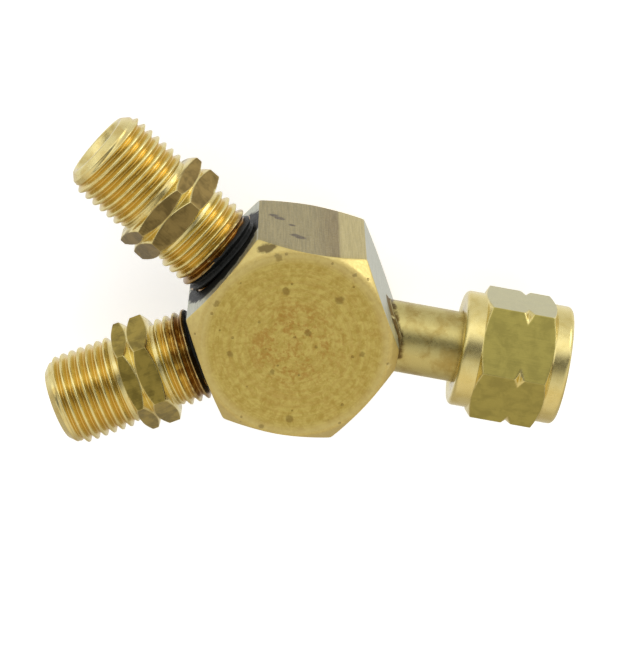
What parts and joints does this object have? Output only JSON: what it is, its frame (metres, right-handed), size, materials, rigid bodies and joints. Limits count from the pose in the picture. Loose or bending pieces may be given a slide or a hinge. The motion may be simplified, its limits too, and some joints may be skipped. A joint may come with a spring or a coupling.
{
  "type": "flare fitting",
  "caption": "Brass gas Y-splitter: hexagonal block with a left-hand swivel nut inlet on one corner and male threaded outlets on adjacent flats.",
  "frame": {"origin": "the centre of the hexagonal block's back face; the three port axes meet 13.5 mm in front of it", "axes": "+Z along the axis of the hexagonal block, out of its front face; +X out along the inlet stem and nut; the outlets leave at 148.25 and 211.75 degrees about +Z, measured from +X towards +Y"},
  "size_m": [0.0787, 0.0516, 0.027],
  "materials": {
    "block_brass": "satin, turned ends with handling stains",
    "connector_brass": "bright machined threads, dull hexagon flats",
    "stem_brass": "turned, slightly tarnished",
    "nut_brass": "drawn flats, bright turned collars",
    "braze": "dull, with dark residue",
    "sealant": "cured, semi-gloss black"
  },
  "bodies": {
    "splitter": {"manifold_body": "block_brass", "upper_outlet_connector": "connector_brass", "lower_outlet_connector": "connector_brass", "upper_thread_sealant": "sealant", "lower_thread_sealant": "sealant", "inlet_stem": "stem_brass", "stem_braze_ring": "braze"},
    "nut": {"swivel_nut": "nut_brass"}
  },
  "joints": [
    {"name": "nut_spin", "type": "hinge", "parent": "splitter", "child": "nut", "pos_m": [0.0335, 0, 0.0135], "axis": [1, 0, 0], "continuous": true}
  ]
}
